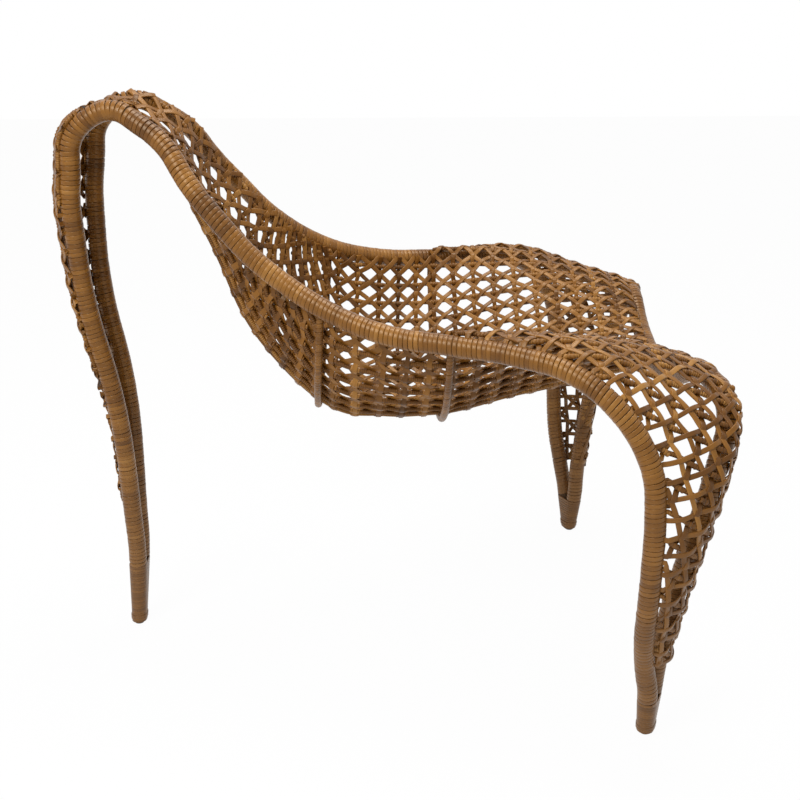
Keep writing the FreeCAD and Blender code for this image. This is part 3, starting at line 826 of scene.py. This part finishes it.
def layStrand(piece, knots, kind, line):
    rows = len(line["q"])
    bends = max(rows // lattice["wanderRows"], 2)
    sways = dice.normal(0, 1, bends) * lattice["wander"]
    sway = np.interp(np.arange(rows), np.linspace(0, rows, bends), sways)
    aside = unit(np.cross(unit(np.gradient(line["points"], axis=0)), line["normals"]))
    points = line["points"] + line["normals"] * strandHeight(kind, line)[:, None] + aside * sway[:, None]
    points, normals = tuckEnds(points, line["normals"])
    tone = np.clip(dice.normal(middleTone, lattice["toneSpread"]), 0, 1)
    if kind == "reed":
        across = 2 * lattice["reedRadius"]
        piece.sweep(points, normals, across, across, tone, ring=reedRing)
        return
    if kind == "column":
        tieKnots(knots, line, tone)
    width, thick = lattice["columnSize"] if kind == "column" else lattice["diagonalSize"]
    onBack = np.clip((lattice["hipColumn"] - line["p"].mean()) / lattice["backReach"], 0, 1)
    width = width * dice.uniform(*lattice["widths"]) * (1 + lattice["backSwell"] * onBack)
    piece.sweep(points, normals, width, thick, tone)


knot = {"size": (4.6 * mm, 1.0 * mm), "swells": (1.0, 1.06, 1.0), "sides": 8, "lean": 0.25, "uneven": 0.06,
        "toneSpread": 0.1, "ridge": np.array([(-0.5, -0.5), (0, 0.5), (0.5, -0.5)])}


def tieKnots(knots, line, tone):
    # turns of cane round each reed that the column crosses
    phase = line["q"] - 0.5
    angle = np.linspace(0, 2 * math.pi, knot["sides"], endpoint=False)
    width, thick = knot["size"]
    for i in np.nonzero(np.floor(phase[:-1]) != np.floor(phase[1:]))[0]:
        t = (max(math.floor(phase[i]), math.floor(phase[i + 1])) - phase[i]) / (phase[i + 1] - phase[i])
        centre = line["points"][i] * (1 - t) + line["points"][i + 1] * t
        normal = unit(line["normals"][i])
        column = unit(line["points"][i + 1] - line["points"][i])
        reed = unit(np.cross(column, normal))
        spin = np.cos(angle)[:, None] * column + np.sin(angle)[:, None] * normal
        lean = dice.uniform(-knot["lean"], knot["lean"])
        for turn, swell in enumerate(knot["swells"]):
            swell = swell * (1 + dice.uniform(-knot["uneven"], knot["uneven"]))
            radius = lattice["reedRadius"] * swell + thick / 2
            offset = (turn - 1) * width + np.sin(angle) * lean * radius
            ring = centre + spin * radius + reed * offset[:, None]
            turnTone = np.clip(tone + dice.normal(0, knot["toneSpread"]), 0, 1)
            knots.sweep(ring, spin, width, thick, turnTone, ring=knot["ridge"], closed=True)


weave()

# Winding: flat cane coiled round the poles, ribs and feet; a drift is the turns between changes and a spread
winding = {
    "pitch": 6.6 * mm, "cover": 0.95, "thick": 1.6 * mm, "segments": 21.6, "startAcross": (0.3, 0.2, 1.0),
    "slip": (1.3, 0.35 * mm), "lift": (0.8, 0.12 * mm), "broadTone": (7, 0.13), "turnTone": (0.9, 0.12),
}


def steadyFrames(points):
    # side and up vectors carried along the route without twist
    tangents = unit(np.gradient(points, axis=0))
    side = unit(np.cross(tangents[0], winding["startAcross"]))
    sides = [side]
    for tangent in tangents[1:]:
        side = unit(side - tangent * (side @ tangent))
        sides.append(side)
    sides = np.array(sides)
    return sides, np.cross(tangents, sides)


def driftAlong(turns, reach, spread):
    # a value that drifts from turn to turn
    changes = max(int(turns[-1] / reach) + 2, 3)
    return np.interp(turns, np.linspace(0, turns[-1], changes), dice.normal(0, spread, changes))


def windPole(name, node, points, radius, pitch=winding["pitch"], thick=winding["thick"]):
    along = runLengths(points)
    count = max(int(along[-1] / pitch), 2)
    pitch = along[-1] / count
    turns = np.linspace(0, count, int(count * winding["segments"]))
    at = np.clip(turns * pitch + driftAlong(turns, *winding["slip"]), 0, along[-1])
    centre, side, up = [np.stack([np.interp(at, along, values[:, k]) for k in range(3)], axis=1)
                        for values in (points, *steadyFrames(points))]
    angle = (turns * 2 * math.pi)[:, None]
    out = unit(np.cos(angle) * side + np.sin(angle) * up)
    level = radius - thick / 2 + driftAlong(turns, *winding["lift"])
    drift = driftAlong(turns, *winding["broadTone"]) + driftAlong(turns, *winding["turnTone"])
    tone = np.clip(middleTone + drift, 0, 1)
    coil = Strands()
    coil.sweep(centre + out * level[:, None], out, pitch * winding["cover"], thick, tone)
    coil.make(name, windingCane, "binding", [node])


def cutRoute(route, first, last):
    points, places = route
    return points[(places >= first - tiny) & (places <= last + tiny)]


sideLast = len(sideRoute) - 2
archLast = len(archPoints) - 2
wrapRadius = chair["wrapOuter"] * mm
windPole("rightSideWinding", "right_side_binding", cutRoute(rightSide, 1, sideLast), wrapRadius)
windPole("leftSideWinding", "left_side_binding", cutRoute(leftSide, 1, sideLast), wrapRadius)
windPole("frontArchWinding", "front_arch_binding", cutRoute(arch, 1, archLast), wrapRadius)

ribWinding = {"radius": 5.4 * mm, "pitch": 6.2 * mm, "thick": 1.3 * mm, "rows": 60}


def windRib(name, node, at):
    # close under the weave's section, from one side pole to the other
    section = next(section for section in poleSections if section[0] == at)
    seat, drop = chair["ribSeat"] * mm, chair["ribDrop"] * mm
    edge, direction, middle, normal, up = poleEdge(*[np.array([float(value)]) for value in section], seat)
    poles = sectionPoles(edge - normal * drop, direction, middle - up * drop)
    half = bezier(poles, np.linspace(0, 1, ribWinding["rows"]))[0]
    route = np.vstack([half[::-1], half[1:] * mirrorX])
    windPole(name, node, route, ribWinding["radius"], ribWinding["pitch"], ribWinding["thick"])


windRib("rearRibWinding", "rear_rib_binding", chair["rearRibAt"])
windRib("middleRibWinding", "middle_rib_binding", chair["middleRibAt"])

footWinding = {
    "tip": 11.4 * mm, "ankle": 13.6 * mm, "pitch": 4.6 * mm, "reach": 0.97,
    "lip": 1.1 * mm, "lipTurns": (1, 2), "capPoints": 9, "toneSpread": 0.12, "grainShift": 9,
}


def stadiumPath(a, b, radius):
    # closed path round two poles that stand side by side, and the way out at each point
    along = unit(b - a)
    across = np.array([-along[1], along[0], 0])
    turn = np.linspace(-math.pi / 2, math.pi / 2, footWinding["capPoints"])[:, None]
    out = np.cos(turn) * along + np.sin(turn) * across
    return np.vstack([b + radius * out, a - radius * out]), unit(np.vstack([out, -out]))


def windFoot(name, node, tips, ankles):
    # closed turns round both poles, from the glide up to the ankle
    coil = Strands()
    height = (ankles[0] - tips[0])[2] * footWinding["reach"]
    turns = int(height / footWinding["pitch"])
    width = height / turns * winding["cover"]
    tones = np.clip(dice.normal(middleTone, footWinding["toneSpread"], turns), 0, 1)
    for turn, tone in enumerate(tones):
        share = (turn + 0.5) / turns * footWinding["reach"]
        a, b = [low + (high - low) * share for low, high in zip(tips, ankles)]
        radius = footWinding["tip"] + (footWinding["ankle"] - footWinding["tip"]) * share
        lip = footWinding["lip"] if turn in footWinding["lipTurns"] else 0
        path, outs = stadiumPath(a, b, radius + lip)
        shift = dice.uniform(0, footWinding["grainShift"])
        coil.sweep(path, outs, width, winding["thick"], tone, closed=True, shift=shift)
    coil.make(name, windingCane, "binding", [node])


windFoot("rearFootWinding", "rear_foot_binding", (sidePoints[0], sidePoints[0] * mirrorX),
         (sidePoints[1], sidePoints[1] * mirrorX))
windFoot("leftFootWinding", "left_foot_binding", (sidePoints[-1], archPoints[-1]),
         (sidePoints[-2], archPoints[-2]))
windFoot("rightFootWinding", "right_foot_binding", (sidePoints[-1] * mirrorX, archPoints[0]),
         (sidePoints[-2] * mirrorX, archPoints[1]))
print("winding done")

# Floor, light and camera
studio = {
    "floorSize": 16, "floorStops": [(0.0, (0.88, 0.88, 0.88)), (1.0, (0.90, 0.90, 0.90))], "speckScale": 30.0,
    "floorRough": 0.8, "floorWhite": 0.965, "worldLight": 0.45,
    "whiteRays": ("Is Camera Ray", "Is Glossy Ray", "Is Transmission Ray"),
    "lens": 49.845, "sensor": 36,
    "cameraAt": (-1.6364, 0.0153, 0.9922), "cameraTurn": (69.82, 0.077, -91.6725),
}
lamps = {
    "keyLight": {"spot": (-1.5, 1.0, 2.0), "target": (0, 0, 0.4), "size": 1.0, "power": 33},
    "topLight": {"spot": (0.3, -0.3, 2.6), "target": (0, 0, 0.5), "size": 1.2, "power": 34},
}


def addFloor():
    # white to the camera, with only a trace of the chair's shadow
    bpy.ops.mesh.primitive_plane_add(size=studio["floorSize"])
    floor = bpy.context.object
    floor.name = "studioFloor"
    maker = Maker("studio floor")
    shade = maker.ramp(studio["floorStops"], maker.noise(maker.grown(), studio["speckScale"]))
    floor.data.materials.append(maker.finish(Base_Color=shade, Roughness=studio["floorRough"]))
    camera, glossy, through = [maker.node("ShaderNodeLightPath", {}, {}, ray) for ray in studio["whiteRays"]]
    seen = camera + glossy + through
    glow = maker.node("ShaderNodeEmission", {}, {"Color": (1, 1, 1, 1), "Strength": 1.0})
    plain = Socket(maker, maker.surface.outputs[0])
    mixed = maker.node("ShaderNodeMixShader", {}, {0: seen * studio["floorWhite"], 1: plain, 2: glow})
    maker.feed(maker.tree.nodes["Material Output"].inputs["Surface"], mixed)


def addLight(name, settings):
    data = bpy.data.lights.new(name, "AREA")
    data.size = settings["size"]
    data.energy = settings["power"]
    lamp = bpy.data.objects.new(name, data)
    bpy.context.scene.collection.objects.link(lamp)
    lamp.location = settings["spot"]
    lamp.rotation_mode = "QUATERNION"
    aim = Vector(settings["target"]) - Vector(settings["spot"])
    lamp.rotation_quaternion = aim.to_track_quat("-Z", "Y")


def addWorld():
    # soft light for the chair, and plain white for the rays that see the background
    world = bpy.data.worlds.new("studio")
    bpy.context.scene.world = world
    world.use_nodes = True
    nodes, links = world.node_tree.nodes, world.node_tree.links
    soft = nodes["Background"]
    soft.inputs["Strength"].default_value = studio["worldLight"]
    white = nodes.new("ShaderNodeBackground")
    for background in (soft, white):
        background.inputs["Color"].default_value = (1, 1, 1, 1)
    path = nodes.new("ShaderNodeLightPath")
    mix = nodes.new("ShaderNodeMixShader")
    seen, *others = [path.outputs[ray] for ray in studio["whiteRays"]]
    for ray in others:
        either = nodes.new("ShaderNodeMath")
        either.operation = "MAXIMUM"
        links.new(seen, either.inputs[0])
        links.new(ray, either.inputs[1])
        seen = either.outputs[0]
    links.new(seen, mix.inputs[0])
    links.new(soft.outputs[0], mix.inputs[1])
    links.new(white.outputs[0], mix.inputs[2])
    links.new(mix.outputs[0], nodes["World Output"].inputs["Surface"])


def addCamera():
    data = bpy.data.cameras.new("photoCamera")
    data.lens = studio["lens"]
    data.sensor_width = studio["sensor"]
    camera = bpy.data.objects.new("photoCamera", data)
    bpy.context.scene.collection.objects.link(camera)
    camera.location = studio["cameraAt"]
    camera.rotation_euler = [math.radians(angle) for angle in studio["cameraTurn"]]
    bpy.context.scene.camera = camera


addFloor()
addWorld()
for name, settings in lamps.items():
    addLight(name, settings)
addCamera()
bpy.context.scene.view_settings.view_transform = "Standard"
print("studio done")
